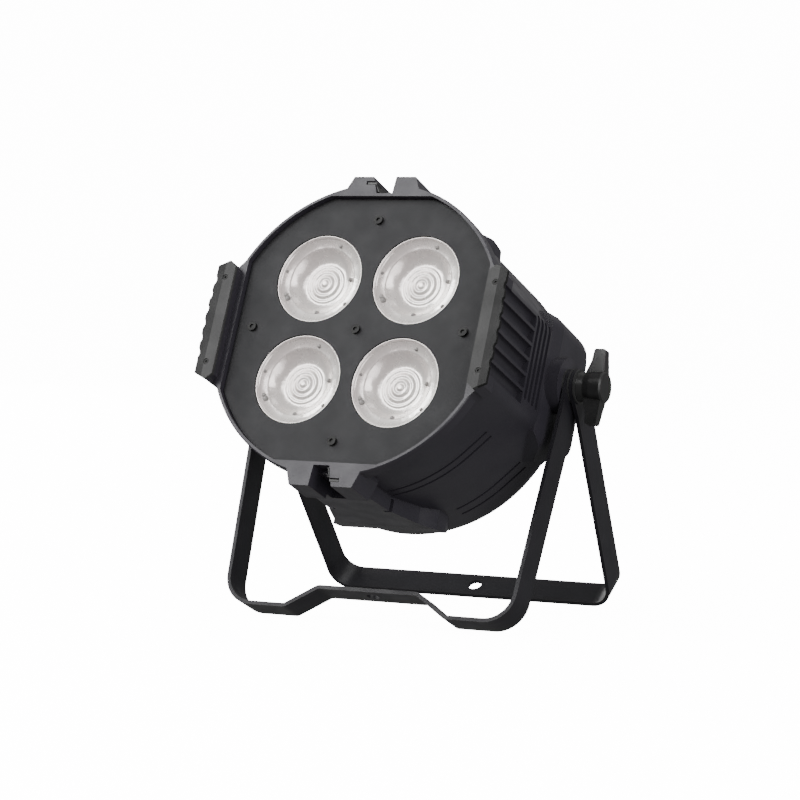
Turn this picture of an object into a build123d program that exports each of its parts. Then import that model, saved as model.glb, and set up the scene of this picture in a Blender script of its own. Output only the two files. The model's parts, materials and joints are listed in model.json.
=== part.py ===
"""Par can light: a die-cast barrel with four lensed LEDs on a folding double yoke.

The lamp's own pieces are drawn in barrel coordinates: X to the side, Y back along the
barrel's axis from the front of the face plate, Z up from that axis.  aim() then tips them
about the clamp bolts and stands the whole lamp on the floor.  Millimetres throughout.
"""
from build123d import *
from math import atan, cos, degrees, radians, sin, sqrt, tan
import os

os.makedirs("parts", exist_ok=True)

# ---------------------------------------------------------------- driving dimensions
tilt = 24.3                  # the barrel's front is tipped up by this many degrees
pivot_height = 177.0         # clamp bolts above the floor
pivot_depth = 108.4          # clamp bolts behind the front of the face plate
pivot_rise = 2.0             # clamp bolts above the barrel's axis
centre_shift = 19.42         # clamp bolts behind the middle of the bounding box

# barrel
barrel_radius = 110.5
barrel_wall = 3.0
bore_radius = barrel_radius - barrel_wall
rim_radius = 115.3
rim_front = -5.0
rim_back = 7.0
pad_side = 115.0             # half width over the flat side pads
pad_top = 46.0
pad_corner = 14.0
parting = 136.0              # front and rear housings meet here
barrel_end = 158.0
rear_round = 21.0
rear_wall_inner = barrel_end - barrel_wall

# face plate and its recess
plate_radius = 112.0
plate_flat_top = 104.0
plate_flat_side = 99.5
plate_thickness = 2.0
plate_gap = 0.6
ledge_width = 4.5
ledge_back = 6.5
plate_screw_circle = 87.0

# lenses
lens_offset = 40.0           # each lens centre from the axis, both ways
lens_opening = 35.0
lens_face = 34.7
lens_flange = 37.3

# stack of pieces behind the plate, as depths from its front
gasket_back = 2.6
flange_back = 4.4
module_front = 31.5
carrier_front = 33.0
sink_front = 35.0
sink_back = 41.0
fin_back = 86.0
chassis_front = 116.0
chassis_back = 117.5

# side details
flute_count = 6
flute_pitch = 11.8
flute_width = 9.2
flute_depth = 5.0
flute_front = -4.0
flute_back = 56.0
slot_depths = (61.0, 68.0, 75.0, 82.0)
slot_width = 4.0
slot_length = 66.0
slot_level = 6.0
groove_depths = (46.6, 55.2, 110.6, 121.2)
groove_width = 2.2
groove_cut = 1.6

# ear round each pivot
ear_proud = 2.5
ear_front = 86.0
ear_ramp = 14.0              # the ear rises out of the barrel over this length
ear_back = 150.0
ear_top = 53.0
ear_corner = 10.0
boss_radius = 21.0
boss_face = 125.5

# accessory lugs and the keels behind them
lug_top = {1: 120.3, -1: 122.8}     # upper and lower lugs
lug_inner = 9.5
lug_outer = 25.5
lug_base = 30.5
lug_shoulder = 109.5
lug_back = 24.0
lug_floor = 107.0            # channel floor at the rim
channel_step = 5.6           # behind this depth the channel floor is the barrel's own skin
channel_back = 33.0
channel_slant = 5.0
clip_side = {1: -1, -1: 1}   # the upper clip is in the left lug, the lower one in the right

# accessory bars beside the plate, on pads that stand forward of the rim
bar_inner = 104.5
bar_outer = 119.4
bar_point = 109.8
bar_front = -14.0
bar_back = -11.0
bar_half = 47.5
bar_shoulder = 43.0
bar_bulge = 1.6              # the outer edge stands out by this much at its middle
bar_screw_side = 111.5
bar_screw_level = 33.8

# posts and screws
post_circle = 103.0
post_radius = 5.5
standoff_circle = 91.0
standoff_radius = 3.5

# fan
fan_size = 92.0
fan_depth = 25.0
fan_rise = 10.0
fan_front = chassis_front - fan_depth
hub_radius = 17.5
blade_tip = 42.8
blade_count = 7

# rear face
guard_radius = 33.0
panel_level = 63.75
panel_size = (72.0, 28.5)
panel_face = barrel_end + 2.0
button_level = 56.5
button_places = (-24.0, -8.0, 8.0, 24.0)
button_radius = 3.5
signal_place = (58.0, -8.0)
mains_place = (24.0, -53.0)
fuse_level = -34.5
eye_level = -78.0

# yoke: flat bar, inner bracket to the front and outer bracket to the rear
strip_width = 25.0
strip_thickness = 3.0
front_side = 128.25          # middle of the strip at the clamp bolt
rear_side = 132.5
front_splay = 24.1
rear_splay = 31.5
straight_top = 20.0          # the strip is square to the bolt for this length
front_taper = 0.0601
rear_taper = 0.0637
front_bend = 22.5
rear_bend = 16.5
hump_rise = 16.0
hump_foot = 67.0
hump_top = 41.5
clamp_hole = 5.5
bolt_hole = 5.05
washer_radius = 13.0
clearance = 0.15

# wing knob
knob_turn = 6.0
knob_reach = 28.8            # tip of each wing from the stud
knob_length = 20.0
stud_radius = 4.95
stud_seat = 4.98             # the stud's hole in the knob
stud_depth = 12.0
insert_radius = 8.0


# ---------------------------------------------------------------- helpers
def along(sketch, start, end):
    """A sketch across the barrel, extruded from one depth to another."""
    return extrude(Plane.XZ.offset(-start) * sketch, amount=end - start, dir=(0, 1, 0))


def across(sketch, start, end):
    """A side-view sketch of (depth, height), extruded from one side place to another."""
    return extrude(Plane.YZ.offset(start) * sketch, amount=end - start, dir=(1, 0, 0))


def rod(place, radius, start, end):
    """A round bar along the barrel's axis direction."""
    return along(Pos(*place) * Circle(radius), start, end)


def screw(place, under_head, head_radius, head_height, shank_radius, length, facing=-1):
    """A screw along the barrel; facing -1 has its head to the front, 1 to the back."""
    head = (under_head, under_head + facing * head_height)
    tip = under_head - facing * length
    drive = (head[1], head[1] - facing * head_height * 0.55)
    body = rod(place, head_radius, min(head), max(head))
    body += rod(place, shank_radius, min(under_head, tip), max(under_head, tip))
    recess = along(Pos(*place) * RegularPolygon(head_radius * 0.5, 6), min(drive), max(drive))
    return body - recess


def ring(radius, count, first=0.0):
    """Places evenly round a circle."""
    step = 360.0 / count
    angles = [radians(first + step * index) for index in range(count)]
    return [(radius * cos(angle), radius * sin(angle)) for angle in angles]


def group(pieces):
    """Separate solids kept together as one node."""
    return Compound([solid for piece in pieces for solid in piece.solids()])


def both_sides(piece):
    return piece + mirror(piece, about=Plane.YZ)


def aim(piece):
    """Barrel coordinates to the finished lamp's place."""
    to_pivot = Pos(0, -pivot_depth, -pivot_rise)
    return Pos(0, centre_shift, pivot_height) * Rot(-tilt, 0, 0) * to_pivot * piece


def swing(piece, splay):
    """A bracket hanging straight down from the bolts, swung to its place."""
    return Pos(0, centre_shift, pivot_height) * Rot(splay, 0, 0) * piece


# ---------------------------------------------------------------- outlines
def barrel_section(grow=0.0, top=pad_top, corner=pad_corner):
    """Round barrel blended into a flatter pad on each side."""
    edges = Circle(barrel_radius + grow).edges()
    for side in (-1, 1):
        for level in (-1, 1):
            place = Pos(side * (pad_side - corner), level * (top - corner))
            edges += (place * Circle(corner + grow)).edges()
    return make_hull(edges)


def plate_outline(grow=0.0):
    """A circle with a flat above, below and at each side."""
    flats = Rectangle(2 * (plate_flat_side + grow), 2 * (plate_flat_top + grow))
    return Circle(plate_radius + grow) & flats


def ear_volume(side):
    """The ear round one pivot: it ramps out of the barrel, then follows it to the back."""
    outline = Polygon(
        (ear_front - 4.0, ear_top), (ear_back, ear_top), (ear_back, -38.0), (113.0, -57.0),
        (ear_front - 4.0, -40.0),
        align=None,
    )
    outline = fillet(outline.vertices().sort_by(Axis.X)[-1:], 14.0)
    outline = fillet(outline.vertices().group_by(Axis.Y)[-1].sort_by(Axis.X)[-1:], 22.0)
    full = ear_front + ear_ramp
    sections = [
        Plane.XZ.offset(-depth) * barrel_section(grow, ear_top - 1.5, ear_corner)
        for depth, grow in ((ear_front, -0.4), (full, ear_proud))
    ]
    ear = loft(sections) + along(barrel_section(ear_proud, ear_top - 1.5, ear_corner), full, ear_back)
    return ear & across(outline, side * 62.0, side * 140.0)


def post_places():
    return ring(post_circle, 4, 45.0)


# ---------------------------------------------------------------- housings
def lug_block(level):
    """Both lugs of one pair, before the channel between them is cut."""
    half = [(lug_outer, lug_top[level]), (lug_base, lug_shoulder), (lug_base, 100.0)]
    points = half + [(-x, z) for x, z in reversed(half)]
    return along(Polygon(*[(x, z * level) for x, z in points], align=None), rim_front, lug_back)


def lug_channel(level):
    """Open channel between the lugs, with a slanted flank on the clip's side."""
    side = clip_side[level]
    top = lug_top[level] + 1.0
    outline = Polygon(
        (-side * lug_inner, top * level), (-side * (lug_inner - 1.0), lug_floor * level),
        (side * (lug_inner - channel_slant), lug_floor * level), (side * lug_inner, top * level),
        align=None,
    )
    front = along(outline, rim_front, channel_step)
    back = along(outline - Circle(barrel_radius + 0.1), channel_step, channel_back)
    return front + back


def keel(level):
    """Accessory lugs at the front of a keel that runs back and fades into the barrel."""
    side_view = Polygon(
        (lug_back, 100.0), (lug_back, 119.4), (100.0, 117.4), (118.0, 114.4),
        (129.0, 110.4), (parting, 105.5), (parting, 100.0),
        align=None,
    )
    half_plan = [
        (23.5, lug_back), (25.0, 58.0), (35.0, 88.0), (43.5, 103.0), (44.0, 118.0), (36.0, parting),
    ]
    plan = Polygon(*half_plan, *[(-x, depth) for x, depth in reversed(half_plan)], align=None)
    plan = fillet(plan.vertices().group_by(Axis.Y)[-2], 12.0)
    block = across(side_view, -50.0, 50.0)
    block &= extrude(Plane.XY.offset(90.0) * plan, amount=40.0)
    notch = across(Pos(60.0, 115.0) * Rectangle(3.0, 12.0), 20.5, 45.0)
    block -= both_sides(notch)
    if level < 0:
        block = mirror(block, about=Plane.XY)
    return block + lug_block(level)


def clip_slot(level):
    """The slot in one lug that the accessory clip hooks into."""
    side = clip_side[level]
    slot = Pos(side * (lug_inner + 1.0), level * (lug_top[level] - 5.0)) * Rectangle(8.0, 3.0)
    return along(slot, rim_front - 1.0, 6.0)


def bar_outline(outer=bar_outer):
    """Pointed at both ends; the pad behind the bar has the same outline, less wide."""
    return Polygon(
        (bar_inner, -bar_shoulder), (bar_point, -bar_half), (outer, -bar_shoulder),
        (outer, bar_shoulder), (bar_point, bar_half), (bar_inner, bar_shoulder),
        align=None,
    )


def flute_levels():
    return [pivot_rise + (index - (flute_count - 1) / 2) * flute_pitch for index in range(flute_count)]


def front_housing():
    body = along(barrel_section(), rim_front, parting)
    rim = along(Circle(rim_radius), rim_front, rim_back)
    body += chamfer(rim.edges().filter_by(GeomType.CIRCLE), 0.8)
    for level in (-1, 1):
        body += keel(level)
    pad = along(bar_outline(pad_side), bar_back, rim_back)
    body += both_sides(pad)
    for side in (-1, 1):
        ear = ear_volume(side)
        body += ear & Pos(0, parting - 100.0, 0) * Box(400, 200, 400)
        boss = Pos(pivot_depth, pivot_rise) * Circle(boss_radius)
        body += across(boss, side * 108.0, side * boss_face)

    # hollow: plate recess, ledge at the flats, long bore
    body -= along(plate_outline(plate_gap), bar_back, plate_thickness)
    body -= along(plate_outline(-ledge_width), plate_thickness, ledge_back)
    body -= along(Circle(bore_radius), ledge_back, parting)

    # axial flutes and vent slots in both side pads
    for side in (-1, 1):
        for level in flute_levels():
            flute = Rectangle(8.0, flute_width)
            flute = Pos(side * (pad_side + 4.0), level) * flute
            flute += Pos(side * pad_side, level) * Ellipse(flute_depth, flute_width / 2)
            body -= along(flute, flute_front, flute_back)
        for depth in slot_depths:
            slot = Pos(depth, slot_level) * SlotOverall(slot_length, slot_width, rotation=90)
            body -= across(slot, side * 100.0, side * 125.0)

    # shallow grooves round the barrel in each quarter, clear of the ears and keels
    skin = barrel_section(4.0) - barrel_section(-groove_cut)
    for depth in groove_depths:
        last = 76.0 if depth < parting / 2 else 62.0
        band = along(skin, depth, depth + groove_width)
        for turn in (0, 180):
            for first, end in ((31.0, last), (-last, -31.0)):
                a, b = radians(first + turn), radians(end + turn)
                wedge = Polygon(
                    (0, 0), (300 * cos(a), 300 * sin(a)), (300 * cos(b), 300 * sin(b)), align=None
                )
                body -= band & along(wedge, depth - 1, depth + groove_width + 1)

    # posts inside for the heat sink in front and the rear housing behind
    for place in post_places():
        post = rod(place, post_radius, sink_back, parting)
        post &= along(Circle(bore_radius + 1.0), sink_back, parting)
        body += post
        body -= rod(place, 1.55, sink_back, sink_back + 14.0)
        body -= rod(place, 1.55, parting - 14.0, parting)

    for level in (-1, 1):
        body -= clip_slot(level)
        body -= lug_channel(level)
    for side in (-1, 1):
        for level in (-bar_screw_level, bar_screw_level):
            body -= rod((side * bar_screw_side, level), 1.55, bar_back, flute_front - 0.3)
        bore = Pos(pivot_depth, pivot_rise) * Circle(insert_radius)
        body -= across(bore, side * 100.0, side * 130.0)
    return body


def rear_core(inset):
    """Solid of turning with a rounded rear edge; inset by the wall for the inside."""
    radius = barrel_radius - inset
    end = barrel_end - inset
    corner = rear_round - inset
    with BuildSketch(Plane.XY) as profile:
        with BuildLine():
            Polyline((0, parting), (radius, parting), (radius, end - corner))
            RadiusArc((radius, end - corner), (radius - corner, end), -corner)
            Polyline((radius - corner, end), (0, end), (0, parting))
        make_face()
    return revolve(profile.sketch, Axis.Y)


def rear_housing():
    outer = rear_core(0.0)
    body = outer
    for side in (-1, 1):
        body += ear_volume(side) & Pos(0, parting + 100.0, 0) * Box(400, 200, 400)
    body -= rear_core(barrel_wall)
    for place in post_places():
        body += rod(place, post_radius, parting, barrel_end) & outer
        body -= rod(place, 1.9, parting, barrel_end)
        body -= rod(place, 4.0, parting + 6.0, barrel_end)
    body -= rod((0, fan_rise), guard_radius + 0.3, rear_wall_inner, barrel_end)
    window = Pos(0, panel_level) * Rectangle(panel_size[0] - 4, panel_size[1] - 4)
    body -= along(window, rear_wall_inner, barrel_end)
    for side in (-1, 1):
        body -= rod((side * signal_place[0], signal_place[1]), 12.0, rear_wall_inner, barrel_end)
        for place in flange_screw_places(side):
            body -= rod(place, 1.3, rear_wall_inner, barrel_end)
        latch = Pos(-signal_place[0], signal_place[1] + 12.5) * Rectangle(9.0, 6.0)
        body -= along(latch, rear_wall_inner, barrel_end)
        hole = Pos(side * mains_place[0], mains_place[1]) * Rectangle(27.6, 20.6)
        body -= along(hole, rear_wall_inner, barrel_end)
        body -= rod((side * 16.0, eye_level), 1.6, rear_wall_inner, barrel_end)
    body -= rod((0, fuse_level), 5.6, rear_wall_inner, barrel_end)
    return body


# ---------------------------------------------------------------- optics
def lens_places():
    return {
        "top_left": (-lens_offset, lens_offset),
        "top_right": (lens_offset, lens_offset),
        "bottom_left": (-lens_offset, -lens_offset),
        "bottom_right": (lens_offset, -lens_offset),
    }


def plate_screw_places():
    return [(0.0, 0.0)] + ring(plate_screw_circle, 4)


def face_plate():
    plate = along(plate_outline(), 0.0, plate_thickness)
    for place in lens_places().values():
        plate -= rod(place, lens_opening, 0.0, plate_thickness)
    for place in plate_screw_places():
        plate -= rod(place, 1.9, 0.0, plate_thickness)
    return plate


def flared(inner_radius, inner_depth, middle, outer_radius, outer_depth):
    """The curved flank of a lens or its holder, back edge to front edge."""
    return ThreePointArc((inner_radius, inner_depth), middle, (outer_radius, outer_depth))


def lens():
    """Collimating lens: flat face with a small well, flared flank, well for the LED."""
    with BuildSketch(Plane.XY) as profile:
        with BuildLine():
            flared(12.5, 29.5, (27.0, 19.5), 35.4, flange_back)
            Polyline(
                (35.4, flange_back), (lens_flange, flange_back), (lens_flange, gasket_back),
                (lens_face, gasket_back), (lens_face, 0.6), (9.5, 0.6), (8.5, 6.5), (0, 6.5),
                (0, 17.0), (7.0, 19.0), (9.0, 29.5), (12.5, 29.5),
            )
        make_face()
    return revolve(profile.sketch, Axis.Y)


def lens_holder():
    """Cup that carries the lens flange and stands on the LED module."""
    with BuildSketch(Plane.XY) as profile:
        with BuildLine():
            flared(13.4, 30.0, (27.9, 19.9), 36.1, flange_back)
            Polyline(
                (36.1, flange_back), (37.5, flange_back), (37.5, gasket_back),
                (38.8, gasket_back), (38.8, 6.0),
            )
            ThreePointArc((38.8, 6.0), (29.6, 21.3), (14.9, module_front))
            Polyline((14.9, module_front), (13.4, module_front), (13.4, 30.0))
        make_face()
    return revolve(profile.sketch, Axis.Y)


def lens_gasket():
    return along(Circle(38.8) - Circle(lens_opening), plate_thickness, gasket_back)


def led_module():
    """Square board with a round emitter on it."""
    board = along(RectangleRounded(30.0, 30.0, 1.5), module_front, carrier_front)
    for corner in ((-12.0, 12.0), (12.0, -12.0)):
        board -= rod(corner, 1.6, module_front, carrier_front)
    return board + rod((0, 0), 10.5, module_front - 0.8, module_front)


def led_carrier_plate():
    plate = along(Circle(88.0) & Rectangle(144.0, 144.0), carrier_front, sink_front)
    return plate - rod((0, 0), 4.6, carrier_front, sink_front)


def plate_standoffs():
    pieces = []
    for place in plate_screw_places():
        post = along(Pos(*place) * RegularPolygon(4.4, 6), plate_thickness, sink_front)
        pieces.append(post - rod(place, 1.65, plate_thickness, plate_thickness + 11.0))
    return group(pieces)


def heat_sink():
    base = along(plate_outline(-ledge_width - 0.8), sink_front, sink_back)
    fins = Rectangle(1.8, 170.0)
    for index in range(1, 12):
        for side in (-1, 1):
            fins += Pos(side * 7.0 * index, 0) * Rectangle(1.8, 170.0)
    base += along(fins & Circle(84.0), sink_back, fin_back)
    for place in post_places():
        base -= rod(place, 1.9, sink_front, sink_back)
    return base


# ---------------------------------------------------------------- chassis, fan and supplies
def chassis_standoffs():
    pieces = []
    for place in ring(standoff_circle, 4):
        post = rod(place, standoff_radius, sink_back, chassis_front)
        pieces.append(post - rod(place, 1.55, chassis_front - 11.0, chassis_front))
    return group(pieces)


def fan_screw_places():
    half = fan_size / 2 - 4.75
    return [(x * half, fan_rise + z * half) for x in (-1, 1) for z in (-1, 1)]


def chassis_plate():
    plate = along(Circle(97.0), chassis_front, chassis_back)
    plate -= rod((0, fan_rise), 43.5, chassis_front, chassis_back)
    for place in ring(standoff_circle, 4):
        plate -= rod(place, 1.7, chassis_front, chassis_back)
    for place in fan_screw_places():
        plate -= rod(place, 1.7, chassis_front, chassis_back)
    for x in (-44.0, 44.0):
        for z in (-80.0, -46.0):
            plate += rod((x, z), 2.5, chassis_back, chassis_back + 3.2)
    return plate


def inner_screws():
    """The same small screw holds the heat sink, the chassis plate and the fan."""
    pieces = [screw(place, sink_front, 3.2, 2.2, 1.5, 14.0) for place in post_places()]
    behind = ring(standoff_circle, 4) + fan_screw_places()
    pieces += [screw(place, chassis_back, 3.2, 2.2, 1.5, 9.0, facing=1) for place in behind]
    return group(pieces)


def fan_frame():
    frame = along(RectangleRounded(fan_size, fan_size, 6.0), fan_front, chassis_front)
    frame -= along(Circle(fan_size / 2 - 1.8), fan_front, chassis_front)
    frame += along(Circle(18.0), chassis_front - 3.5, chassis_front)
    for turn in (45, 135, 225, 315):
        strut = Rot(0, 0, turn) * Pos(31.0, 0) * Rectangle(29.0, 3.0)
        frame += along(strut, chassis_front - 3.5, chassis_front)
    frame -= along(Circle(1.55), chassis_front - 3.5, chassis_front)
    frame = Pos(0, 0, fan_rise) * frame
    for place in fan_screw_places():
        frame -= rod(place, 1.55, fan_front, chassis_front)
    return frame


def fan_rotor():
    hub = along(Circle(hub_radius), fan_front + 2.0, chassis_front - 4.1)
    hub -= along(Circle(hub_radius - 2.0), chassis_front - 10.0, chassis_front - 4.1)
    hub += along(Circle(1.5), chassis_front - 12.0, chassis_front - 0.5)
    tip = along(Circle(blade_tip), fan_front + 2.0, chassis_front - 4.5)
    blade = Pos(30.0, fan_front + 11.5, 0) * Rot(38, 0, 0) * Box(28.0, 24.0, 1.6)
    blade &= tip
    for index in range(blade_count):
        hub += Rot(0, 360.0 / blade_count * index, 0) * blade
    return Pos(0, 0, fan_rise) * hub


def fan_guard():
    """Concentric rings and spokes in the rear opening, with a flange inside the wall."""
    face = Circle(5.0)
    for radius in (9.5, 14.5, 19.5, 24.5, 29.5):
        face += Circle(radius + 0.9) - Circle(radius - 0.9)
    face += Circle(guard_radius) - Circle(guard_radius - 1.5)
    for turn in (0, 45, 90, 135):
        face += Rot(0, 0, turn) * Rectangle(2 * guard_radius - 1.0, 2.0)
    guard = along(face & Circle(guard_radius), rear_wall_inner, barrel_end - 0.4)
    flange = Circle(guard_radius + 3.5) - Circle(guard_radius - 1.5)
    guard += along(flange, rear_wall_inner - 1.5, rear_wall_inner)
    return Pos(0, 0, fan_rise) * guard


def power_supply_case():
    """Open-fronted tray on the chassis plate."""
    case = along(Pos(0, -62.5) * Rectangle(112.0, 43.0), fan_front, chassis_front)
    case -= along(Pos(0, -62.5) * Rectangle(115.0, 40.6), fan_front, chassis_front - 1.2)
    for x in (-48.0, 48.0):
        for z in (-76.0, -49.0):
            case += rod((x, z), 2.5, chassis_front - 4.4, chassis_front - 1.2)
    return case


def power_supply_board():
    """Board with its transformer, capacitors and two cooling plates."""
    top = chassis_front - 6.0
    board = along(Pos(0, -62.5) * Rectangle(106.0, 38.0), top, chassis_front - 4.4)
    board += along(Pos(-8, -62.5) * Rectangle(30.0, 27.0), top - 17.0, top)
    board += along(Pos(-8, -62.5) * Rectangle(20.0, 33.0), top - 14.0, top - 3.0)
    for place, radius in (((22.0, -70.0), 8.0), ((22.0, -53.0), 7.0), ((-38.0, -54.0), 6.0)):
        board += rod(place, radius, top - 17.5, top)
    board += along(Pos(41.0, -62.5) * Rectangle(3.0, 32.0), top - 16.0, top)
    board += along(Pos(-44.0, -72.0) * Rectangle(10.0, 12.0), top - 12.0, top)
    return board


def led_driver_board():
    """Board behind the chassis plate with one inductor for each lamp channel."""
    front = chassis_back + 3.2
    board = along(Pos(0, -63.0) * Rectangle(98.0, 42.0), front, front + 1.6)
    for x in (-36.0, -12.0, 12.0, 36.0):
        board += along(Pos(x, -57.0) * RectangleRounded(12.0, 12.0, 2.0), front + 1.6, front + 8.0)
        board += rod((x, -74.0), 4.0, front + 1.6, front + 10.0)
    return board


# ---------------------------------------------------------------- rear face
def control_panel():
    panel = along(
        Pos(0, panel_level) * RectangleRounded(*panel_size, 3.0), barrel_end, panel_face
    )
    panel -= along(Pos(0, panel_level + 6.25) * Rectangle(44.0, 12.0), barrel_end, panel_face)
    for x in button_places:
        panel -= rod((x, button_level), button_radius + 0.3, barrel_end, panel_face)
    return panel


def display_window():
    return along(
        Pos(0, panel_level + 6.25) * Rectangle(43.8, 11.8), barrel_end, panel_face - 0.4
    )


def control_board():
    """Board with four key switches and the display block behind its window."""
    board = along(Pos(0, panel_level) * Rectangle(66.0, 29.0), 148.4, 150.0)
    display = Pos(0, panel_level + 6.25) * Rectangle(46.0, 11.0)
    board += along(display, 150.0, barrel_end - 0.6)
    for x in button_places:
        board += along(Pos(x, button_level) * Rectangle(6.0, 6.0), 150.0, 155.0)
    return board


def button(x):
    cap = rod((x, button_level), button_radius, barrel_end - 1.5, panel_face + 2.0)
    cap = chamfer(cap.faces().sort_by(Axis.Y)[-1].edges(), 0.5)
    return cap + rod((x, button_level), 4.4, barrel_end - 1.5, barrel_end - 0.3)


def flange_screw_places(side):
    x, z = side * signal_place[0], signal_place[1]
    return [(x - 9.5, z + 12.0), (x + 9.5, z - 12.0)]


def signal_socket(side):
    """Round three-pin chassis connector blank with its square flange."""
    x, z = side * signal_place[0], signal_place[1]
    body = along(Pos(x, z) * RectangleRounded(26.0, 31.0, 2.5), barrel_end, barrel_end + 2.0)
    body += rod((x, z), 11.8, 132.0, barrel_end)
    for place in flange_screw_places(side):
        body -= rod(place, 1.6, barrel_end, barrel_end + 2.0)
    return body


def signal_pin_places(side):
    x, z = side * signal_place[0], signal_place[1]
    return [(x + px, z + pz) for px, pz in ((-3.5, 2.0), (3.5, 2.0), (0.0, -4.0))]


def signal_inlet():
    """Male: an open round cup with three pins."""
    x, z = signal_place
    cup = rod((x, z), 9.6, barrel_end - 13.0, barrel_end + 2.0)
    body = signal_socket(1) - cup
    for place in signal_pin_places(1):
        body += rod(place, 1.2, barrel_end - 13.5, barrel_end - 0.5)
    return body


def signal_outlet():
    """Female: a round face in a ring groove, three holes and a window for the latch."""
    x, z = -signal_place[0], signal_place[1]
    groove = along(Pos(x, z) * (Circle(9.6) - Circle(7.6)), barrel_end - 13.0, barrel_end + 2.0)
    body = signal_socket(-1) - groove
    for place in signal_pin_places(-1):
        body -= rod(place, 1.3, barrel_end - 12.0, barrel_end + 2.0)
    window = Pos(x, z + 12.5) * Rectangle(8.6, 5.0)
    return body - along(window, barrel_end - 4.0, barrel_end + 2.0)


def outlet_latch():
    """Push tab that lets go of the plug."""
    x, z = -signal_place[0], signal_place[1]
    tab = along(Pos(x, z + 12.5) * RectangleRounded(8.0, 4.4, 0.8), barrel_end - 2.0, barrel_end + 3.4)
    return tab


def mains_body(side):
    x, z = side * mains_place[0], mains_place[1]
    body = along(Pos(x, z) * RectangleRounded(31.0, 24.0, 2.0), barrel_end, barrel_end + 2.5)
    return body + along(Pos(x, z) * Rectangle(27.2, 20.2), 137.0, barrel_end)


def mains_outline(grow):
    """Socket outline: a rectangle with its two upper corners cut off."""
    w, h, cut = 12.0 + grow, 8.2 + grow, 4.0
    return Polygon(
        (-w, -h), (w, -h), (w, h - cut), (w - cut, h), (cut - w, h), (-w, h - cut), align=None
    )


def mains_inlet():
    """Inlet: a deep recess with three flat pins."""
    x, z = mains_place
    body = mains_body(1) - along(Pos(x, z) * mains_outline(0.0), barrel_end - 13.0, barrel_end + 2.5)
    for px, pz in ((-7.0, -1.0), (7.0, -1.0), (0.0, 2.5)):
        body += along(Pos(x + px, z + pz) * Rectangle(2.0, 4.2), barrel_end - 13.5, barrel_end - 1.0)
    return body


def mains_outlet():
    """Outlet: a flush face inside a ring groove, with three slots."""
    x, z = -mains_place[0], mains_place[1]
    groove = mains_outline(0.0) - mains_outline(-1.4)
    body = mains_body(-1) - along(Pos(x, z) * groove, barrel_end - 13.0, barrel_end + 2.5)
    for px, pz in ((-7.0, -1.0), (7.0, -1.0), (0.0, 2.0)):
        slot = Pos(x + px, z + pz) * Rectangle(2.4, 4.6)
        body -= along(slot, barrel_end - 10.0, barrel_end + 2.5)
    return body


def fuse_holder():
    body = rod((0, fuse_level), 5.5, 129.0, barrel_end)
    body += rod((0, fuse_level), 6.9, barrel_end, barrel_end + 1.5)
    return body - rod((0, fuse_level), 3.3, 131.0, barrel_end + 1.5)


def fuse_cap():
    """Quarter-turn cap with a coin slot and ribs round its edge."""
    outline = Circle(5.0)
    for place in ring(5.0, 16):
        outline -= Pos(*place) * Circle(0.45)
    cap = along(outline, barrel_end + 1.7, barrel_end + 6.5)
    cap -= along(Rectangle(6.5, 1.3), barrel_end + 5.0, barrel_end + 6.5)
    cap += along(Circle(3.2), 152.0, barrel_end + 1.7)
    return Pos(0, 0, fuse_level) * cap


def fuse():
    tube = rod((0, fuse_level), 2.3, 136.0, 146.8)
    for start, end in ((131.4, 136.0), (146.8, 151.4)):
        tube += rod((0, fuse_level), 2.6, start, end)
    return tube


def safety_eye():
    """Steel foot with a standing tab, pierced for the safety cable."""
    foot = along(Pos(0, eye_level) * RectangleRounded(41.0, 10.5, 2.0), barrel_end, barrel_end + 2.5)
    for x in (-16.0, 16.0):
        foot -= rod((x, eye_level), 1.6, barrel_end, barrel_end + 2.5)
    outline = Pos(0, barrel_end + 12.0) * Circle(11.0)
    outline += Pos(0, barrel_end + 6.0) * Rectangle(22.0, 12.0)
    outline -= Pos(0, barrel_end + 12.0) * Circle(6.5)
    return foot + extrude(Plane.XY.offset(eye_level - 1.5) * outline, amount=3.0)


def rear_screws():
    """Rear cover, socket flange and safety eye screws."""
    pieces = [screw(p, parting + 6.0, 3.2, 2.2, 1.5, 18.0, facing=1) for p in post_places()]
    for side in (-1, 1):
        for place in flange_screw_places(side):
            pieces.append(screw(place, barrel_end + 2.0, 2.6, 1.4, 1.25, 6.0, facing=1))
        eye = (side * 16.0, eye_level)
        pieces.append(screw(eye, barrel_end + 2.5, 2.8, 1.8, 1.5, 8.0, facing=1))
    return group(pieces)


# ---------------------------------------------------------------- accessory hardware
def accessory_bar(side):
    """Flat bar with pointed ends, its outer edge bowed and scalloped to match the flutes."""
    bow = bar_bulge / (2 * bar_screw_level) ** 2 * 4
    face = bar_outline()
    edge = ThreePointArc(
        (bar_outer, -bar_screw_level), (bar_outer + bar_bulge, 0.0), (bar_outer, bar_screw_level)
    )
    face += make_face(edge + Line((bar_outer, bar_screw_level), (bar_outer, -bar_screw_level)))
    for level in flute_levels():
        if abs(level) < bar_screw_level:
            out = bar_outer + bar_bulge - bow * level ** 2
            face -= Pos(out + 4.6, level) * Circle(5.8)
    bar = along(face, bar_front, bar_back)
    for level in (-bar_screw_level, bar_screw_level):
        bar -= rod((bar_screw_side, level), 1.7, bar_front, bar_back)
        bar -= rod((bar_screw_side, level), 2.3, bar_front, bar_front + 1.9)
    return bar if side > 0 else mirror(bar, about=Plane.YZ)


def accessory_bar_screws():
    pieces = []
    for side in (-1, 1):
        for level in (-bar_screw_level, bar_screw_level):
            place = (side * bar_screw_side, level)
            pieces.append(screw(place, bar_front + 1.9, 2.1, 1.5, 1.5, 7.4))
    return group(pieces)


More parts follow.
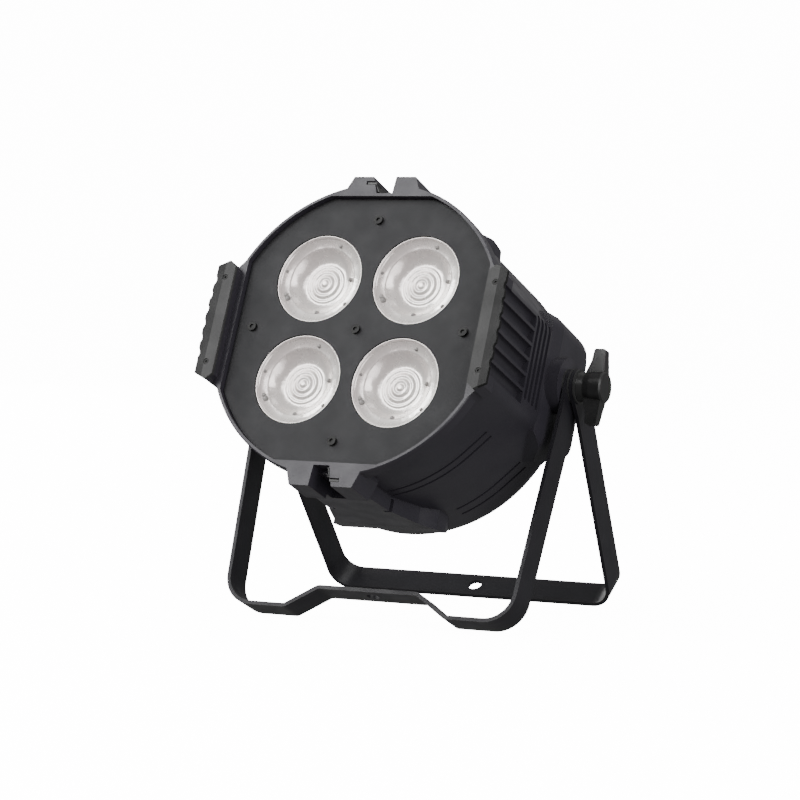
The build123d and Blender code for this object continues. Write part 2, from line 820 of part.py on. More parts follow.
def frame_clips():
    """Sprung leaf down the slanted flank of one lug, its hook in the lug's slot."""
    pieces = []
    for level in (-1, 1):
        side = clip_side[level]
        top = lug_top[level]
        hook = Pos(side * (lug_inner + 0.5), level * (top - 5.0)) * Rectangle(7.4, 1.6)
        clip = along(hook, rim_front + 1.0, 4.0)
        leaf = Polygon(
            (side * (lug_inner - 2.2), level * (top - 4.2)),
            (side * (lug_inner - 3.0), level * (top - 5.8)),
            (side * (lug_inner - 6.6), level * (lug_floor + 1.3)),
            (side * (lug_inner - 5.6), level * (lug_floor + 1.3)),
            align=None,
        )
        clip += along(leaf, rim_front + 1.0, 20.0)
        foot = Pos(side * (lug_inner - 7.8), level * (barrel_radius + 1.1)) * Rectangle(7.0, 1.0)
        clip += along(foot, channel_step, 20.0)
        clip -= along(Circle(barrel_radius + 0.5), channel_step - 0.5, 20.0)
        pieces.append(clip)
    return group(pieces)


# ---------------------------------------------------------------- pivots and yoke
front_inner_face = front_side - strip_thickness / 2
front_outer_face = front_side + strip_thickness / 2
rear_inner_face = rear_side - strip_thickness / 2
rear_outer_face = rear_side + strip_thickness / 2


def pivot_inserts():
    """Threaded bushes pressed into the ears."""
    bush = Pos(pivot_depth, pivot_rise) * (Circle(insert_radius) - Circle(5.0))
    piece = across(bush, 105.0, boss_face)
    return group([piece, mirror(piece, about=Plane.YZ)])


def washers(start, end, outer):
    """One washer on each side, about the clamp bolts."""
    piece = across(Circle(outer) - Circle(bolt_hole), start, end)
    return group([piece, mirror(piece, about=Plane.YZ)])


def at_pivot(piece):
    """Pieces drawn about the clamp-bolt axis, turned with the barrel."""
    return Pos(0, centre_shift, pivot_height) * Rot(-tilt, 0, 0) * piece


def leg_reach(splay):
    """Bolt to the middle of the bottom bar, so that the bar's edge is on the floor."""
    drop = pivot_height - strip_width / 2 * sin(radians(splay))
    return drop / cos(radians(splay)) - strip_thickness / 2


def bracket(side, taper, bend, reach, hump):
    """Flat bar bent to a U, hanging straight down from the clamp bolts."""
    foot = side - taper * (reach - straight_top)
    right = [(side, 0), (side, -straight_top), (foot, -reach)]
    radii = [60.0, bend]
    if hump:
        right += [(hump_foot, -reach), (hump_top, hump_rise - reach)]
        radii += [6.0, 6.0]
    points = right + [(-x, z) for x, z in reversed(right)]
    path = FilletPolyline(*points, radius=radii + radii[::-1])
    strip = extrude(Plane.XZ * trace(path, strip_thickness), amount=strip_width / 2, both=True)
    for way in (-1, 1):
        start = way * (side - strip_thickness / 2)
        end = way * (side + strip_thickness / 2)
        strip += across(Circle(strip_width / 2), start, end)
        strip -= across(Circle(bolt_hole), start, end)
    level = (hump_rise if hump else 0.0) - reach
    return strip - Pos(0, 0, level) * Cylinder(clamp_hole, 2 * strip_thickness)


def front_bracket():
    reach = leg_reach(front_splay)
    return swing(bracket(front_side, front_taper, front_bend, reach, True), -front_splay)


def rear_bracket():
    reach = leg_reach(rear_splay)
    return swing(bracket(rear_side, rear_taper, rear_bend, reach, False), rear_splay)


def knob(side):
    """Wing knob: waisted stem, flat end and two flat wings that thin towards their tips."""
    start = rear_outer_face + 2 * clearance + 1.2
    end = start + knob_length
    stem = Polygon(
        (start, 0), (start, 11.4), (start + 5.0, 10.6), (start + 10.0, 11.6), (end - 1.2, 12.0),
        (end, 10.8), (end, 0),
        align=None,
    )
    body = revolve(stem, Axis.X)
    wing = Polygon(
        (start + 4.5, 0), (start + 4.5, 9.5), (start + 7.6, 19.0), (start + 8.4, knob_reach),
        (end - 2.8, knob_reach), (end - 0.8, 10.0), (end - 0.8, 0),
        align=None,
    )
    wing = fillet(wing.vertices().sort_by(Axis.Y)[-2:], 1.6)
    plan = Polygon(
        (-knob_reach - 1, 3.5), (-20.0, 4.4), (0, 6.4), (20.0, 4.4), (knob_reach + 1, 3.5),
        (knob_reach + 1, -3.5), (20.0, -4.4), (0, -6.4), (-20.0, -4.4), (-knob_reach - 1, -3.5),
        align=None,
    )
    upper = extrude(Plane.XZ * wing, amount=8.0, both=True)
    upper &= across(Rot(0, 0, 90) * plan, start, end + 5.0)
    body += upper + mirror(upper, about=Plane.XY)
    body -= across(Circle(stud_seat), start, start + stud_depth)
    body = Rot(knob_turn, 0, 0) * body
    return body if side > 0 else mirror(body, about=Plane.YZ)


def knob_stud(side):
    start, end = 108.0, rear_outer_face + 2 * clearance + 1.2 + stud_depth - 0.1
    stud = across(Circle(stud_radius), start, end)
    return stud if side > 0 else mirror(stud, about=Plane.YZ)


# ---------------------------------------------------------------- the lamp
def lamp_pieces():
    """Everything that tips with the barrel, in barrel coordinates."""
    pieces = {
        "front_housing": front_housing(),
        "rear_housing": rear_housing(),
        "face_plate": face_plate(),
        "face_plate_screws": group(
            [screw(place, 0.0, 3.4, 2.0, 1.6, 10.0) for place in plate_screw_places()]
        ),
        "plate_standoffs": plate_standoffs(),
        "lens_gaskets": group(
            [Pos(x, 0, z) * lens_gasket() for x, z in lens_places().values()]
        ),
        "led_carrier_plate": led_carrier_plate(),
        "heat_sink": heat_sink(),
        "inner_screws": inner_screws(),
        "chassis_standoffs": chassis_standoffs(),
        "chassis_plate": chassis_plate(),
        "fan_frame": fan_frame(),
        "fan_rotor": fan_rotor(),
        "fan_guard": fan_guard(),
        "power_supply_case": power_supply_case(),
        "power_supply_board": power_supply_board(),
        "led_driver_board": led_driver_board(),
        "control_panel": control_panel(),
        "display_window": display_window(),
        "control_board": control_board(),
        "signal_inlet": signal_inlet(),
        "signal_outlet": signal_outlet(),
        "outlet_latch": outlet_latch(),
        "mains_inlet": mains_inlet(),
        "mains_outlet": mains_outlet(),
        "fuse_holder": fuse_holder(),
        "fuse_cap": fuse_cap(),
        "fuse": fuse(),
        "safety_eye": safety_eye(),
        "rear_screws": rear_screws(),
        "accessory_bar_left": accessory_bar(-1),
        "accessory_bar_right": accessory_bar(1),
        "accessory_bar_screws": accessory_bar_screws(),
        "frame_clips": frame_clips(),
        "pivot_inserts": pivot_inserts(),
    }
    for name, (x, z) in lens_places().items():
        pieces["lens_" + name] = Pos(x, 0, z) * lens()
        pieces["lens_holder_" + name] = Pos(x, 0, z) * lens_holder()
        pieces["led_module_" + name] = Pos(x, 0, z) * led_module()
    for name, x in zip(("menu", "down", "up", "enter"), reversed(button_places)):
        pieces["button_" + name] = button(x)
    return pieces


def all_nodes():
    nodes = {name: aim(piece) for name, piece in lamp_pieces().items()}
    boss_gap = front_inner_face - clearance
    nodes["boss_washers"] = at_pivot(washers(boss_face, boss_gap, washer_radius))
    between = rear_inner_face - clearance
    nodes["bracket_washers"] = at_pivot(washers(front_outer_face, between, washer_radius))
    for name, side in (("left", -1), ("right", 1)):
        nodes["knob_" + name] = at_pivot(knob(side))
        nodes["knob_stud_" + name] = at_pivot(knob_stud(side))
    first = rear_outer_face + clearance
    nodes["knob_washers"] = at_pivot(washers(first, first + 1.2, washer_radius))
    nodes["front_bracket"] = front_bracket()
    nodes["rear_bracket"] = rear_bracket()
    return nodes


def main():
    nodes = all_nodes()
    for name, shape in nodes.items():
        export_step(shape, os.path.join("parts", name + ".step"))


main()
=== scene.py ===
"""Par can light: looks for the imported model, with its studio floor, lights and camera."""
import bpy
import bmesh
import json
import math
from mathutils import Matrix, Vector


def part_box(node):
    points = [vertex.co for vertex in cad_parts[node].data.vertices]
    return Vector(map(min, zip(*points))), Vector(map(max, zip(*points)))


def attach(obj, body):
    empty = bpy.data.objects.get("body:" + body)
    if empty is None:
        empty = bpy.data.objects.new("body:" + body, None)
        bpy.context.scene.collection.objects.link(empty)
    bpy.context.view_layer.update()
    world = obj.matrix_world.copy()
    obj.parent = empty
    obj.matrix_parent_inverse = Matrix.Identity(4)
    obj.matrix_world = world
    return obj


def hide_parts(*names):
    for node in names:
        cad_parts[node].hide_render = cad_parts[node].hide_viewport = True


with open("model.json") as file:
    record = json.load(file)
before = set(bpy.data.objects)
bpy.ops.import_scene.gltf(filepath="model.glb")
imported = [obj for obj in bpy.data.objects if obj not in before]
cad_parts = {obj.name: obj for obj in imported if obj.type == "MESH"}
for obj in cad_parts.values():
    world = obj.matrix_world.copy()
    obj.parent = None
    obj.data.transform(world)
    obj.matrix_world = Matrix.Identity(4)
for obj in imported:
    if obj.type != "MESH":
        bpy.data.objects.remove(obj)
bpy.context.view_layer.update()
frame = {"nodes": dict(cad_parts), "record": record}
NODES = frame["nodes"]
MM = 0.001

# ------------------------------------------------------------------ camera and studio
CAMERA_AT = Vector((0.9878, -1.9333, 0.3110))
CAMERA_TURN = 0.4744         # to the right of straight ahead, radians
CAMERA_DIP = 0.0678          # looking down, radians
CAMERA_ROLL = 0.0045
CAMERA_LENS = 129.59
FLOOR_COLOUR = (0.93, 0.93, 0.93, 1.0)
FLOOR_GLOW = 14.0
SWEEP_RADIUS = 4.5           # the floor curves up into a plain backdrop here
SWEEP_HEIGHT = 5.0
SWEEP_BEND = 1.5
SWEEP_STEPS = 12
SWEEP_SEGMENTS = 96
WORLD_STRENGTH = 0.26
LIGHTS_AIM = (0.0, 0.0, 0.2)
LIGHTS = (                   # name, direction from the lamp, distance, size and power
    ("key", (-0.455, -0.637, 0.62), 2.6, 1.3, 48.0),
    ("left_high", (-0.76, -0.18, 0.62), 2.6, 0.9, 30.0),
    ("front_high", (0.0, -0.73, 0.68), 2.6, 0.7, 9.0),
    ("right_fill", (0.86, -0.31, 0.47), 2.6, 1.2, 26.0),
    ("right_low", (0.95, -0.75, -0.02), 2.8, 1.6, 30.0),
    ("back_left", (-0.80, 0.60, 0.25), 2.8, 1.2, 24.0),
    ("top", (0.25, 0.45, 0.9), 2.6, 1.4, 20.0),
)

# ------------------------------------------------------------------ the lamp's own axes
TILT = math.radians(24.3)    # the barrel's front is tipped up by this much
PLATE_MIDDLE = Vector(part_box("face_plate")[0]).lerp(Vector(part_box("face_plate")[1]), 0.5)
LENS_OFFSET = 40.0 * MM
PAINTED_SHADE_FROM = 113.0 * MM       # painted shade on the bars' scalloped outer edge starts this far from the middle
RING_PITCH = 4.4             # of the rings in the middle of each lens, mm
RING_HEIGHT = 0.5
HIGHLIGHT_DRIFT = 0.05           # how far noise shifts the edge of the painted highlight across a lens, metres
# dark stubs in each bowl: some are the optic's moulding feet, others painted shade where the bowl is
# dim
LENS_FEET_AND_SHADE = (               # angle in degrees, distance from the axis and half width in mm
    (70.0, 29.5, 1.6), (8.0, 21.5, 1.5), (-88.0, 25.5, 1.8), (-38.0, 30.5, 1.5),
    (-150.0, 29.5, 2.4), (-156.0, 29.8, 1.8), (168.0, 31.0, 1.2),
)
LENS_NAMES = {
    "top_left": (-1, 1), "top_right": (1, 1), "bottom_left": (-1, -1), "bottom_right": (1, -1),
}


# ------------------------------------------------------------------ node helpers
class Shader:
    """A material's node tree with short calls for the nodes used here."""

    def __init__(self, name, colour, roughness, metallic=0.0):
        self.material = bpy.data.materials.new(name)
        self.material.use_nodes = True
        self.tree = self.material.node_tree
        self.surface = self.tree.nodes["Principled BSDF"]
        self.set(self.surface, "Base Color", colour)
        self.set(self.surface, "Roughness", roughness)
        self.set(self.surface, "Metallic", metallic)
        self.place = self.node("ShaderNodeTexCoord").outputs["Object"]

    def node(self, kind, **settings):
        made = self.tree.nodes.new(kind)
        for key, value in settings.items():
            setattr(made, key, value)
        return made

    def set(self, node, socket, value):
        node.inputs[socket].default_value = value

    def link(self, source, target):
        self.tree.links.new(source, target)

    def noise(self, scale, detail=3.0, roughness=0.55, stretch=None):
        made = self.node("ShaderNodeTexNoise")
        self.set(made, "Scale", scale)
        self.set(made, "Detail", detail)
        self.set(made, "Roughness", roughness)
        place = self.place
        if stretch is not None:
            mapping = self.node("ShaderNodeMapping")
            self.set(mapping, "Scale", stretch)
            self.link(self.place, mapping.inputs["Vector"])
            place = mapping.outputs["Vector"]
        self.link(place, made.inputs["Vector"])
        return made.outputs["Fac"]

    def spots(self, scale):
        made = self.node("ShaderNodeTexVoronoi")
        self.set(made, "Scale", scale)
        self.link(self.place, made.inputs["Vector"])
        return made.outputs["Distance"]

    def span(self, source, low, high, from_low=0.3, from_high=0.7):
        made = self.node("ShaderNodeMapRange")
        self.set(made, "From Min", from_low)
        self.set(made, "From Max", from_high)
        self.set(made, "To Min", low)
        self.set(made, "To Max", high)
        self.link(source, made.inputs["Value"])
        return made.outputs["Result"]

    def blend(self, factor, first, second):
        made = self.node("ShaderNodeMix", data_type="RGBA")
        made.inputs[6].default_value = first
        made.inputs[7].default_value = second
        self.link(factor, made.inputs[0])
        return made.outputs[2]

    def bump(self, source, strength, depth, under=None):
        made = self.node("ShaderNodeBump")
        self.set(made, "Strength", strength)
        self.set(made, "Distance", depth)
        self.link(source, made.inputs["Height"])
        if under is not None:
            self.link(under, made.inputs["Normal"])
        return made.outputs["Normal"]

    def finish(self, colour=None, roughness=None, normal=None):
        if colour is not None:
            self.link(colour, self.surface.inputs["Base Color"])
        if roughness is not None:
            self.link(roughness, self.surface.inputs["Roughness"])
        if normal is not None:
            self.link(normal, self.surface.inputs["Normal"])
        return self.material


def grey(value, warmth=0.0):
    """Neutral colour, or one leaning from blue to red as warmth rises."""
    return (value * (1 + warmth), value, value * (1 - warmth), 1.0)


# ------------------------------------------------------------------ materials
def powder_coat(name, tone, light, roughness, grain=900.0, depth=0.00006, sheen=0.5):
    """Powder coat: soft orange peel, slightly uneven gloss, dust lightening it in patches."""
    shader = Shader(name, tone, roughness)
    patch = shader.noise(14.0, 4.0)
    colour = shader.blend(shader.span(patch, 0.0, 1.0), tone, light)
    rough = shader.span(shader.noise(60.0, 5.0), roughness - 0.05, roughness + 0.07)
    peel = shader.bump(shader.noise(grain, 2.0), 0.35, depth)
    waves = shader.bump(shader.noise(grain * 0.2, 2.0), 0.15, depth * 3, peel)
    shader.set(shader.surface, "Specular IOR Level", sheen)
    return shader.finish(colour, rough, waves)


def bar_with_painted_shade(name, flat, shade_tone):
    """Painted strip whose scalloped outer half is coloured darker as painted shade."""
    shader = Shader(name, flat, 0.5)
    apart = shader.node("ShaderNodeSeparateXYZ")
    shader.link(shader.place, apart.inputs["Vector"])
    side = shader.node("ShaderNodeMath", operation="ABSOLUTE")
    shader.link(apart.outputs["X"], side.inputs[0])
    # painted shade: the colour darkens past this distance from the middle, standing in for the shaded
    # scalloped edge
    outer = shader.span(side.outputs["Value"], 0.0, 1.0, PAINTED_SHADE_FROM, PAINTED_SHADE_FROM + 0.4 * MM)
    colour = shader.blend(outer, flat, shade_tone)
    rough = shader.span(shader.noise(60.0, 5.0), 0.45, 0.57)
    shader.set(shader.surface, "Specular IOR Level", 0.22)
    return shader.finish(colour, rough, shader.bump(shader.noise(1200.0, 2.0), 0.35, 0.00004))


def brushed(name, tone, light, roughness):
    """Plated or milled metal with fine lengthwise scratches."""
    shader = Shader(name, tone, roughness, metallic=1.0)
    scratch = shader.noise(400.0, 4.0, 0.7, stretch=(1.0, 0.06, 1.0))
    colour = shader.blend(shader.span(scratch, 0.0, 1.0), tone, light)
    rough = shader.span(scratch, roughness - 0.08, roughness + 0.10)
    return shader.finish(colour, rough, shader.bump(scratch, 0.15, 0.00003))


def moulded(name, tone, light, roughness, grain=1500.0):
    """Moulded plastic with a fine spark-eroded texture."""
    shader = Shader(name, tone, roughness)
    colour = shader.blend(shader.span(shader.noise(30.0, 4.0), 0.0, 1.0), tone, light)
    rough = shader.span(shader.noise(120.0, 4.0), roughness - 0.05, roughness + 0.06)
    return shader.finish(colour, rough, shader.bump(shader.noise(grain, 2.0), 0.25, 0.00004))


def lens_optic():
    """Optic over a bright cup, with a painted highlight: greyish pink on one side, whitening toward the
    lower right.
    """
    shader = Shader("lens_clear", (0.97, 0.90, 0.87, 1.0), 0.22)
    apart = shader.node("ShaderNodeSeparateXYZ")
    shader.link(shader.place, apart.inputs["Vector"])
    # painted highlight: the colour runs from greyish pink to near white toward each lens's lower right,
    # standing in for reflections
    lower = shader.node("ShaderNodeMath", operation="MULTIPLY")
    shader.link(apart.outputs["Z"], lower.inputs[0])
    lower.inputs[1].default_value = -0.6
    highlight_slant = shader.node("ShaderNodeMath", operation="ADD")
    shader.link(apart.outputs["X"], highlight_slant.inputs[0])
    shader.link(lower.outputs["Value"], highlight_slant.inputs[1])
    highlight_edge = shader.node("ShaderNodeMath", operation="MULTIPLY_ADD")
    shader.link(shader.noise(55.0, 3.0), highlight_edge.inputs[0])
    highlight_edge.inputs[1].default_value = HIGHLIGHT_DRIFT
    shader.link(highlight_slant.outputs["Value"], highlight_edge.inputs[2])
    factor = shader.span(highlight_edge.outputs["Value"], 0.0, 1.0, 0.5 * HIGHLIGHT_DRIFT - 0.030,
                         0.5 * HIGHLIGHT_DRIFT + 0.034)
    # the shaded and the highlighted ends of the painted highlight
    colour = shader.blend(factor, (0.78, 0.70, 0.68, 1.0), (1.0, 0.97, 0.92, 1.0))
    shader.set(shader.surface, "Metallic", 0.45)
    shader.set(shader.surface, "Coat Weight", 1.0)
    shader.set(shader.surface, "Coat Roughness", 0.05)
    rough = shader.span(shader.noise(120.0, 3.0), 0.18, 0.34)
    ripple = shader.bump(shader.noise(90.0, 2.0), 0.5, 0.0012)
    return shader.finish(colour, rough, ripple)


def lens_foot():
    """Locating stub of the optic, seen dark through it; the same dark colour also serves as painted
    shade in the bowls.
    """
    shader = Shader("lens_foot", (0.20, 0.19, 0.18, 1.0), 0.35)
    colour = shader.blend(shader.span(shader.noise(300.0, 3.0), 0.0, 1.0),
                          (0.12, 0.115, 0.11, 1.0), (0.30, 0.28, 0.27, 1.0))
    rough = shader.span(shader.noise(500.0, 2.0), 0.3, 0.45)
    return shader.finish(colour, rough, shader.bump(shader.noise(700.0, 2.0), 0.2, 0.00005))


def bright_cup():
    """Bright, slightly pearly moulding behind the lens."""
    shader = Shader("holder_plastic", (0.86, 0.84, 0.83, 1.0), 0.22)
    tint = shader.blend(shader.span(shader.noise(45.0, 3.0), 0.0, 1.0),
                        (0.88, 0.83, 0.82, 1.0), (0.90, 0.89, 0.88, 1.0))
    rough = shader.span(shader.noise(200.0, 3.0), 0.15, 0.30)
    return shader.finish(tint, rough, shader.bump(shader.noise(240.0, 2.0), 0.1, 0.00006))


def circuit_board():
    """Green solder mask, mottled over its copper."""
    shader = Shader("circuit_board", (0.02, 0.12, 0.05, 1.0), 0.4)
    traces = shader.spots(700.0)
    colour = shader.blend(shader.span(traces, 0.0, 1.0, 0.05, 0.4),
                          (0.03, 0.17, 0.07, 1.0), (0.01, 0.08, 0.03, 1.0))
    rough = shader.span(shader.noise(300.0, 3.0), 0.3, 0.5)
    return shader.finish(colour, rough, shader.bump(traces, 0.3, 0.00008))


def smoked_window():
    """Dark red window of the display."""
    shader = Shader("display_glass", (0.05, 0.008, 0.008, 1.0), 0.08)
    rough = shader.span(shader.noise(150.0, 4.0), 0.04, 0.14)
    colour = shader.blend(shader.span(shader.noise(40.0, 3.0), 0.0, 1.0),
                          (0.05, 0.008, 0.008, 1.0), (0.07, 0.012, 0.012, 1.0))
    return shader.finish(colour, rough, shader.bump(shader.noise(60.0, 2.0), 0.05, 0.00005))


def led_board():
    """Pale yellowish board of the LED."""
    shader = Shader("led_module", (0.80, 0.76, 0.62, 1.0), 0.35)
    colour = shader.blend(shader.span(shader.noise(250.0, 3.0), 0.0, 1.0),
                          (0.82, 0.78, 0.60, 1.0), (0.86, 0.84, 0.72, 1.0))
    rough = shader.span(shader.noise(300.0, 3.0), 0.3, 0.45)
    return shader.finish(colour, rough, shader.bump(shader.noise(500.0, 2.0), 0.2, 0.00005))


MATERIALS = {
    "cast_body": powder_coat(
        "cast_body", (0.026, 0.024, 0.031, 1), (0.033, 0.030, 0.038, 1), 0.36, sheen=0.32),
    "face_plate": powder_coat(
        "face_plate", (0.027, 0.027, 0.029, 1), (0.030, 0.030, 0.032, 1), 0.56, 1400.0, 0.00003, 0.18),
    # the second, darker tone is painted shade on the bars' scalloped outer edge
    "bar_metal": bar_with_painted_shade("bar_metal", grey(0.042), grey(0.006)),
    "yoke_steel": powder_coat(
        "yoke_steel", (0.010, 0.0092, 0.012, 1), (0.014, 0.013, 0.017, 1), 0.44, sheen=0.3),
    "knob_plastic": moulded("knob_plastic", grey(0.008), grey(0.012), 0.40),
    "washer_plastic": moulded("washer_plastic", grey(0.02), grey(0.03), 0.45),
    "lens_clear": lens_optic(),
    "lens_foot": lens_foot(),
    "holder_plastic": bright_cup(),
    "led_module": led_board(),
    "gasket_rubber": moulded("gasket_rubber", grey(0.012), grey(0.02), 0.75, 2500.0),
    "bare_aluminium": brushed("bare_aluminium", grey(0.62), grey(0.75), 0.35),
    "plated_steel": brushed("plated_steel", grey(0.50, 0.02), grey(0.62, 0.02), 0.30),
    "dark_steel": powder_coat("dark_steel", grey(0.014), grey(0.02), 0.45),
    "dark_screw": powder_coat("dark_screw", grey(0.004), grey(0.007), 0.30, 2500.0, 0.00003, 0.12),
    "black_plastic": moulded("black_plastic", grey(0.018), grey(0.026), 0.48),
    "circuit_board": circuit_board(),
    "panel_plastic": moulded("panel_plastic", grey(0.02), grey(0.028), 0.25),
    "display_glass": smoked_window(),
    "button_rubber": moulded("button_rubber", grey(0.16), grey(0.20), 0.6),
    "connector_metal": powder_coat("connector_metal", grey(0.03), grey(0.045), 0.38),
    "fuse_glass": brushed("fuse_glass", grey(0.6), grey(0.7), 0.15),
}


EDGE_WIDTHS = {"cast_body": 0.7, "yoke_steel": 0.5, "knob_plastic": 0.9, "bar_metal": 0.8}   # mm
SMALL_EDGE = 0.2             # on every other slot, mm
SHARP_ANGLE = math.radians(38)


def dress_nodes():
    """Each CAD node gets its material and a softened edge."""
    for part in frame["record"]["subparts"]:
        node = NODES[part["node"]]
        slot = part["material_slot"]
        node.data.materials.clear()
        node.data.materials.append(MATERIALS[slot])
        soften(node, EDGE_WIDTHS.get(slot, SMALL_EDGE))


def soften(node, width):
    """Rounds sharp edges and keeps curved faces smooth."""
    bevel = node.modifiers.new("edge", "BEVEL")
    bevel.width = width * MM
    bevel.segments = 2
    bevel.limit_method = "ANGLE"
    bevel.angle_limit = SHARP_ANGLE
    bevel.harden_normals = False
    bevel.use_clamp_overlap = True


# ------------------------------------------------------------------ lenses
def lamp_matrix(x, rise):
    """Turns and places a piece drawn about its own axis, depth along +Y, onto the plate."""
    turned = Matrix.Rotation(-TILT, 4, "X")
    return Matrix.Translation(PLATE_MIDDLE) @ turned @ Matrix.Translation((x, -MM, rise))


def arc_between(start, end, sag, steps):
    """Points of a shallow arc from start to end, both (radius, depth) in millimetres."""
    points = []
    for step in range(steps + 1):
        part = step / steps
        bulge = sag * 4 * part * (1 - part)
        points.append((start[0] + (end[0] - start[0]) * part,
                       start[1] + (end[1] - start[1]) * part + bulge))
    return points


def lens_profile():
    """Closed half section: lip, shallow shoulder, glossy bowl, rings in the middle, back."""
    lip = [(34.7, 1.6), (34.6, 0.9), (34.2, 0.6), (33.7, 0.8), (33.3, 1.5), (32.9, 2.4), (32.4, 2.8)]
    shoulder = arc_between((32.4, 2.8), (26.5, 5.0), 0.25, 8)
    bowl = arc_between((26.5, 5.0), (15.8, 12.0), 1.5, 14)
    rings = []
    for step in range(61):
        radius = 15.2 * (1 - step / 60)
        level = 11.9 - 2.6 * (1 - radius / 15.2)
        swell = RING_HEIGHT * math.sin(2 * math.pi * radius / RING_PITCH) * min(1.0, radius / 2.0)
        rings.append((radius, level - swell * (1.0 - 0.45 * radius / 15.2)))
    back = [(0.0, 19.5), (9.0, 21.0), (12.5, 28.0), (20.0, 24.0), (27.0, 19.5), (32.0, 12.0)]
    flange = [(35.4, 4.4), (37.3, 4.4), (37.3, 2.6), (34.7, 2.6)]
    return lip + shoulder[1:] + bowl[1:] + rings + back + flange


def lathe(made, profile, segments, loop=True):
    """Spins (radius, depth) points about the Y axis into a bmesh."""
    rings = []
    for radius, depth in profile:
        if radius < 1e-6:
            rings.append([made.verts.new((0.0, depth * MM, 0.0))])
            continue
        rings.append([
            made.verts.new((radius * MM * math.cos(math.tau * turn / segments), depth * MM,
                            radius * MM * math.sin(math.tau * turn / segments)))
            for turn in range(segments)
        ])
    pairs = list(zip(rings, rings[1:] + rings[:1])) if loop else list(zip(rings, rings[1:]))
    for first, second in pairs:
        for turn in range(segments):
            after = (turn + 1) % segments
            corners = [first[turn % len(first)], first[after % len(first)],
                       second[after % len(second)], second[turn % len(second)]]
            unique = list(dict.fromkeys(corners))
            if len(unique) > 2:
                made.faces.new(unique)
    bmesh.ops.recalc_face_normals(made, faces=made.faces)


def new_piece(name, made, material):
    """Turns a bmesh into a smooth-shaded object with one material."""
    mesh = bpy.data.meshes.new(name)
    made.to_mesh(mesh)
    made.free()
    for face in mesh.polygons:
        face.use_smooth = True
    mesh.materials.append(MATERIALS[material])
    piece = bpy.data.objects.new(name, mesh)
    bpy.context.scene.collection.objects.link(piece)
    return piece


def lens_piece(name, x, rise):
    """The visible optic, drawn in place of the plain CAD lens."""
    made = bmesh.new()
    lathe(made, lens_profile(), 96)
    piece = new_piece("optic_" + name, made, "lens_clear")
    piece.matrix_world = lamp_matrix(x, rise)
    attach(piece, "head")
    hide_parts("lens_" + name)


def lens_feet_and_shade(name, x, rise):
    """Small dark stubs in each bowl, at uneven places round it: moulding feet, and painted shade where
    the bowl is dim.
    """
    made = bmesh.new()
    for angle, reach, width in LENS_FEET_AND_SHADE:
        turn = math.radians(angle)
        stub = bmesh.new()
        front = 2.0 + (32.4 - reach) * 0.36 + max(0.0, 26.5 - reach) * 0.4
        lathe(stub, [(0.0, front), (width * 0.6, front + 0.1), (width, front + 0.7),
                     (width, front + 4.0), (0.0, front + 4.0)], 20, False)
        bmesh.ops.translate(stub, verts=stub.verts,
                            vec=(reach * MM * math.cos(turn), 0.0, reach * MM * math.sin(turn)))
        mesh = bpy.data.meshes.new("stub")
        stub.to_mesh(mesh)
        stub.free()
        made.from_mesh(mesh)
        bpy.data.meshes.remove(mesh)
    # the dark colour of these stubs is partly the optic's feet and partly painted shade
    piece = new_piece("optic_feet_and_shade_" + name, made, "lens_foot")
    piece.matrix_world = lamp_matrix(x, rise)
    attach(piece, "head")


# ------------------------------------------------------------------ studio
def sweep_profile():
    """Flat floor, quarter-round rise and a plain wall, as (radius, height) in metres."""
    start = SWEEP_RADIUS - SWEEP_BEND
    points = [(0.0, 0.0), (start, 0.0)]
    for step in range(1, SWEEP_STEPS + 1):
        turn = math.pi / 2 * step / SWEEP_STEPS
        points.append((start + SWEEP_BEND * math.sin(turn), SWEEP_BEND - SWEEP_BEND * math.cos(turn)))
    return points + [(SWEEP_RADIUS, SWEEP_HEIGHT)]


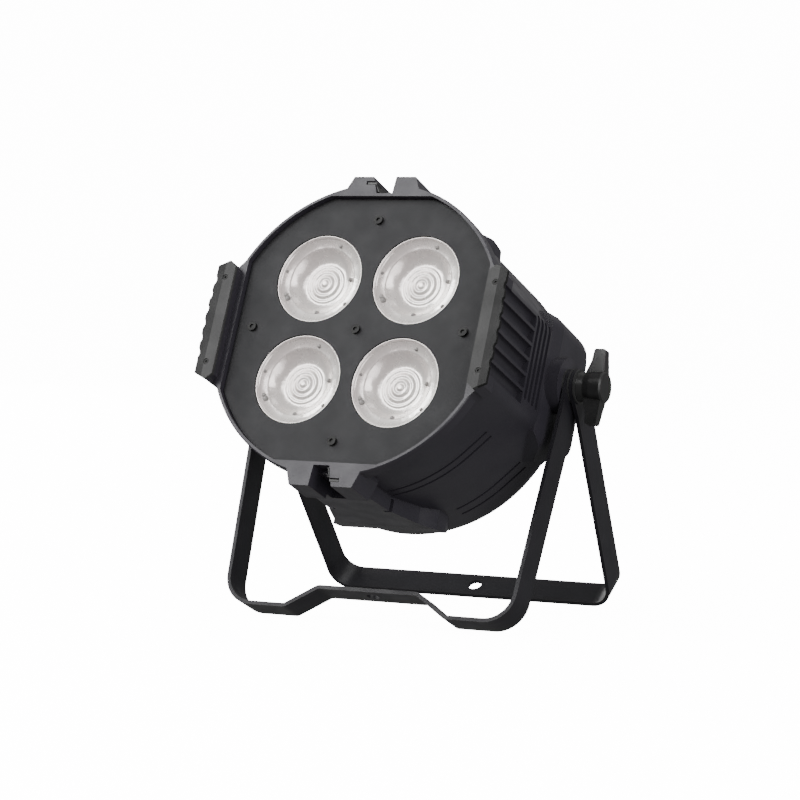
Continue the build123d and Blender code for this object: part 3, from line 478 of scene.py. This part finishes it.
def studio_floor():
    """Pale glowing sweep all round; it throws no light or shadow on the lamp itself."""
    segments = SWEEP_SEGMENTS
    made = bmesh.new()
    rings = []
    for radius, height in sweep_profile():
        count = segments if radius else 1
        rings.append([
            made.verts.new((radius * math.cos(math.tau * turn / segments),
                            radius * math.sin(math.tau * turn / segments), height))
            for turn in range(count)
        ])
    for first, second in zip(rings, rings[1:]):
        for turn in range(segments):
            after = (turn + 1) % segments
            corners = [first[turn % len(first)], second[turn], second[after], first[after % len(first)]]
            made.faces.new(list(dict.fromkeys(corners)))
    mesh = bpy.data.meshes.new("floor")
    made.to_mesh(mesh)
    made.free()
    for face in mesh.polygons:
        face.use_smooth = True
    floor = bpy.data.objects.new("floor", mesh)
    bpy.context.scene.collection.objects.link(floor)
    shader = Shader("floor", FLOOR_COLOUR, 0.9)
    shader.set(shader.surface, "Emission Color", (1.0, 1.0, 1.0, 1.0))
    shader.set(shader.surface, "Emission Strength", FLOOR_GLOW)
    mesh.materials.append(shader.finish(None, shader.span(shader.noise(3.0, 2.0), 0.85, 0.95), None))
    floor.visible_diffuse = False
    floor.visible_glossy = False
    floor.visible_shadow = False


def area_light(name, toward, distance, size, power):
    """Square soft box seen from the lamp in the direction given, itself out of sight."""
    middle = Vector(LIGHTS_AIM)
    light = bpy.data.lights.new(name, "AREA")
    light.shape = "SQUARE"
    light.size = size
    light.energy = power
    made = bpy.data.objects.new(name, light)
    made.location = middle + Vector(toward).normalized() * distance
    made.rotation_euler = (middle - made.location).to_track_quat("-Z", "Y").to_euler()
    made.visible_camera = False
    bpy.context.scene.collection.objects.link(made)


def studio_lights():
    """Soft boxes round the lamp and a weak white surround."""
    for light in LIGHTS:
        area_light(*light)
    world = bpy.data.worlds.new("studio")
    world.use_nodes = True
    world.node_tree.nodes["Background"].inputs["Color"].default_value = (1, 1, 1, 1)
    world.node_tree.nodes["Background"].inputs["Strength"].default_value = WORLD_STRENGTH
    bpy.context.scene.world = world


def studio_camera():
    """Long lens from the front right, a little above the lamp's middle."""
    turn, dip, roll = CAMERA_TURN, CAMERA_DIP, CAMERA_ROLL
    back = Vector((math.sin(turn) * math.cos(dip), -math.cos(turn) * math.cos(dip), math.sin(dip)))
    right = Vector((math.cos(turn), math.sin(turn), 0.0))
    up = back.cross(right)
    rolled_right = math.cos(roll) * right + math.sin(roll) * up
    rolled_up = math.cos(roll) * up - math.sin(roll) * right
    turned = Matrix((rolled_right, rolled_up, back)).transposed()
    data = bpy.data.cameras.new("camera")
    data.lens = CAMERA_LENS
    data.sensor_width = 36.0
    camera = bpy.data.objects.new("camera", data)
    camera.matrix_world = Matrix.Translation(CAMERA_AT) @ turned.to_4x4()
    bpy.context.scene.collection.objects.link(camera)
    bpy.context.scene.camera = camera


dress_nodes()
for lens_name, (side, level) in LENS_NAMES.items():
    lens_piece(lens_name, side * LENS_OFFSET, level * LENS_OFFSET)
    lens_feet_and_shade(lens_name, side * LENS_OFFSET, level * LENS_OFFSET)
studio_floor()
studio_lights()
studio_camera()
